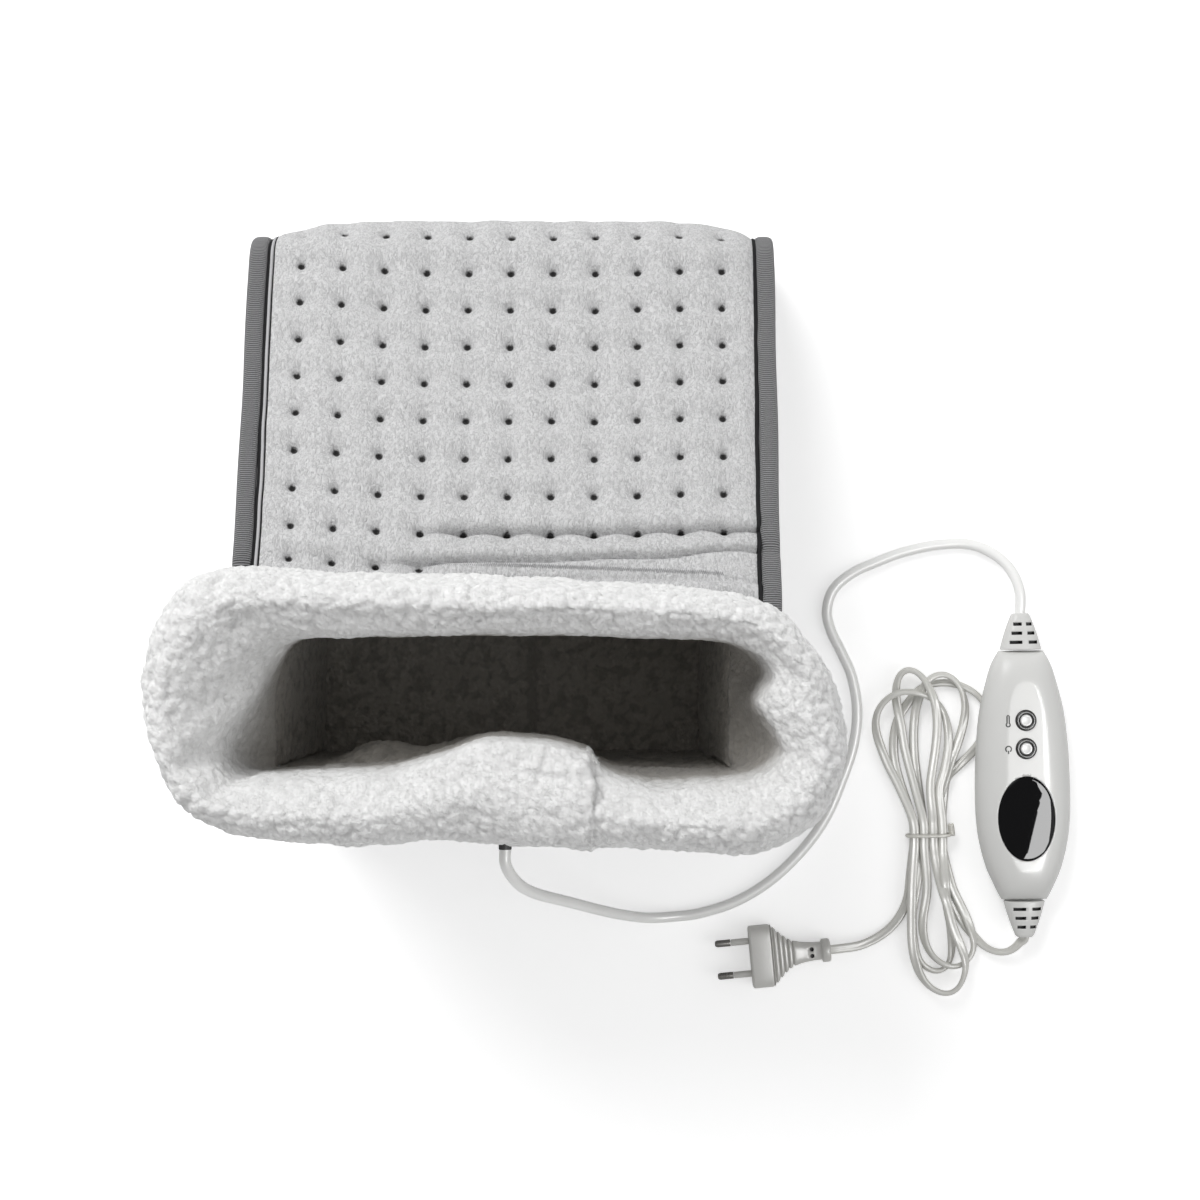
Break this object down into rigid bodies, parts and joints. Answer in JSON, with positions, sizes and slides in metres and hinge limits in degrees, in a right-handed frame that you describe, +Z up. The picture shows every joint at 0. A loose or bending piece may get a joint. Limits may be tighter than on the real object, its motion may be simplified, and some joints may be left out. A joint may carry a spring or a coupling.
{
  "type": "electric foot warmer",
  "caption": "Padded electric foot warmer pouch with fleece cuff and lining, in-line hand controller with two buttons and display, and a tied mains cord with two-pin plug.",
  "frame": {"origin": "on the floor under the pouch, on the sole's flat underside, on the body's centre line", "axes": "+Z up through the foot opening, +Y towards the toe, +X towards the hand controller"},
  "size_m": [0.4826, 0.4272, 0.2491],
  "materials": {
    "velour": "short-pile velour, matte",
    "binding": "ribbed woven tape, matte",
    "sole_cloth": "coarse matte cloth",
    "padding": "wadding, matte",
    "sherpa": "long curly fleece, matte",
    "felt": "pressed felt",
    "wire_jacket": "matte",
    "cutout": "matte",
    "lead_jacket": "satin",
    "grommet": "satin",
    "tape": "herringbone tape, matte",
    "case": "glossy",
    "ring": "satin",
    "display": "glossy, black",
    "switch": "matte",
    "screw": "satin zinc",
    "board": "solder-masked",
    "cord_jacket": "satin",
    "tie": "satin",
    "plug": "satin",
    "pin": "polished nickel"
  },
  "bodies": {
    "foot_warmer": {"outer_sole": "sole_cloth", "sole_pad": "padding", "top_panel": "velour", "left_side_panel": "velour", "right_side_panel": "velour", "heel_panel": "velour", "left_binding": "binding", "right_binding": "binding", "lining_insole": "sherpa", "lining_heel": "sherpa", "lining_left": "sherpa", "lining_right": "sherpa", "lining_top": "sherpa", "heater_felt": "felt", "heating_wire": "wire_jacket", "thermal_cutout": "cutout", "inner_lead_upper": "lead_jacket", "inner_lead_lower": "lead_jacket", "lead_grommet": "grommet", "heater_lead": "lead_jacket", "cuff": "sherpa", "cuff_hem_tape": "tape", "controller_top_shell": "case", "controller_bottom_shell": "case", "display_lens": "display", "display_module": "switch", "circuit_board": "board", "temp_button_ring": "ring", "power_button_ring": "ring", "temp_switch": "switch", "power_switch": "switch", "case_screw_1": "screw", "case_screw_2": "screw", "heater_side_relief": "case", "mains_side_relief": "case", "mains_tail_controller": "cord_jacket", "mains_hank": "cord_jacket", "mains_tail_plug": "cord_jacket", "cord_tie": "tie", "plug_body": "plug", "pin_sleeve_1": "plug", "pin_sleeve_2": "plug", "plug_pin_1": "pin", "plug_pin_2": "pin"},
    "temp_key": {"temp_button": "case"},
    "power_key": {"power_button": "case"}
  },
  "joints": [
    {"name": "temp_press", "type": "slide", "parent": "foot_warmer", "child": "temp_key", "axis": [0, 0, -1], "range_m": [0, 0.001], "stiffness_N_per_m": 800, "springref_m": -0.0005},
    {"name": "power_press", "type": "slide", "parent": "foot_warmer", "child": "power_key", "axis": [0, 0, -1], "range_m": [0, 0.001], "stiffness_N_per_m": 800, "springref_m": -0.0005}
  ]
}
